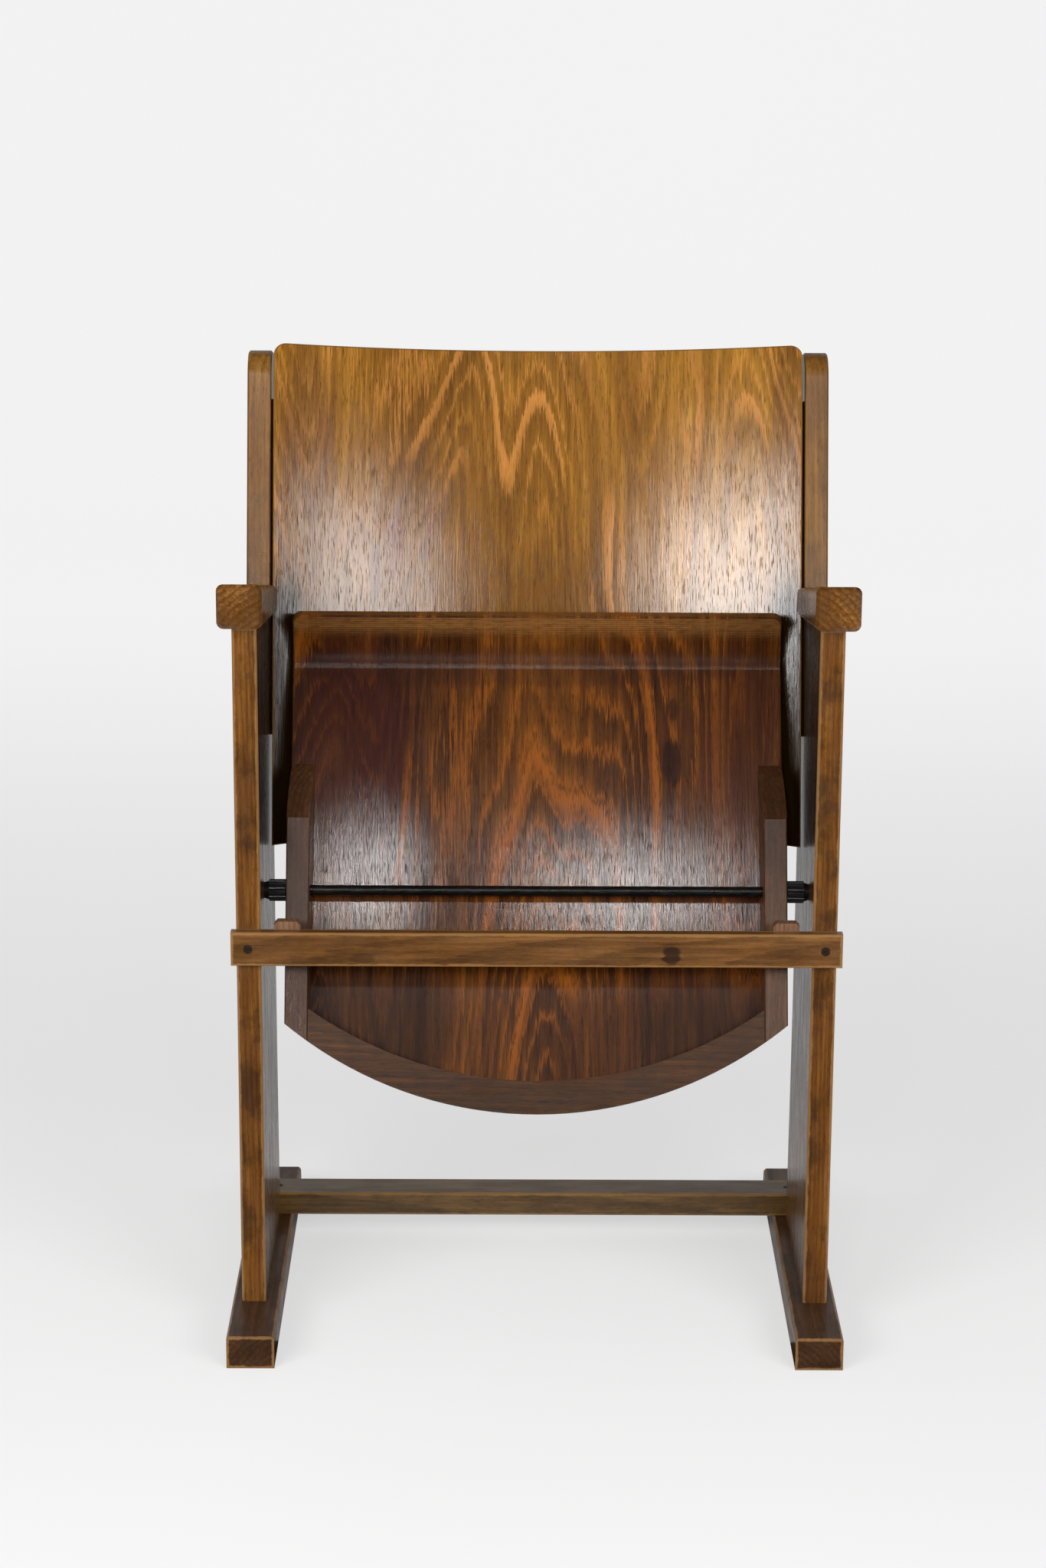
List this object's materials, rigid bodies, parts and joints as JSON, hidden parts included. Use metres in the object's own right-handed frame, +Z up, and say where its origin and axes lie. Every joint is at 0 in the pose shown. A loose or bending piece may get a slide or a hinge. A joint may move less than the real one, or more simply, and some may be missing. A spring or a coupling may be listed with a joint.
{
  "type": "tip-up auditorium seat",
  "caption": "Wooden tip-up auditorium seat on two feet, with solid plank sides, sloping armrests, a leaning moulded plywood back and a seat that folds up on a rod.",
  "frame": {"origin": "on the floor, in the middle between the two feet and at half their length", "axes": "+Z up, -Y towards the front of the seat, +X to the right as seen from the front"},
  "size_m": [0.5412, 0.418, 0.8463],
  "materials": {
    "beech_frame": "brown stained and varnished",
    "beech_arm": "brown stained and varnished, worn bright on the edges",
    "beech_foot": "brown stained and varnished, scuffed",
    "plywood_back": "brown stained beech plywood, glossy varnish",
    "plywood_seat": "brown stained beech plywood, glossy varnish",
    "beech_rail": "brown stained and varnished",
    "beech_block": "thinly stained",
    "beech_dowel": "raw",
    "rod_steel": "blackened, satin",
    "bush_black": "satin",
    "screw_steel": "aged and browned"
  },
  "bodies": {
    "stand": {"foot_right": "beech_foot", "foot_left": "beech_foot", "front_post_right": "beech_frame", "front_post_left": "beech_frame", "side_boards_right": "beech_frame", "side_boards_left": "beech_frame", "back_post_right": "beech_frame", "back_post_left": "beech_frame", "armrest_right": "beech_arm", "armrest_left": "beech_arm", "stretcher": "beech_frame", "front_slat": "beech_frame", "landing_block_right": "beech_block", "landing_block_left": "beech_block", "backrest_sheet": "plywood_back", "backrest_cleat_right": "beech_frame", "backrest_cleat_left": "beech_frame", "bearing_bush_right": "bush_black", "bearing_bush_left": "bush_black", "slat_screws": "screw_steel", "stretcher_screws": "screw_steel", "foot_screws": "screw_steel", "block_screws": "screw_steel", "armrest_screws": "screw_steel", "backrest_screws": "screw_steel", "cleat_screws": "screw_steel", "armrest_dowels": "beech_dowel"},
    "seat": {"seat_sheet": "plywood_seat", "seat_rail_right": "beech_rail", "seat_rail_left": "beech_rail", "seat_rear_rail": "beech_rail", "seat_screws": "screw_steel", "pivot_axle": "rod_steel"}
  },
  "joints": [
    {"name": "seat_tip", "type": "hinge", "parent": "stand", "child": "seat", "pos_m": [0, -0.073, 0.3925], "axis": [1, 0, 0], "range_deg": [0, 110.05]}
  ]
}
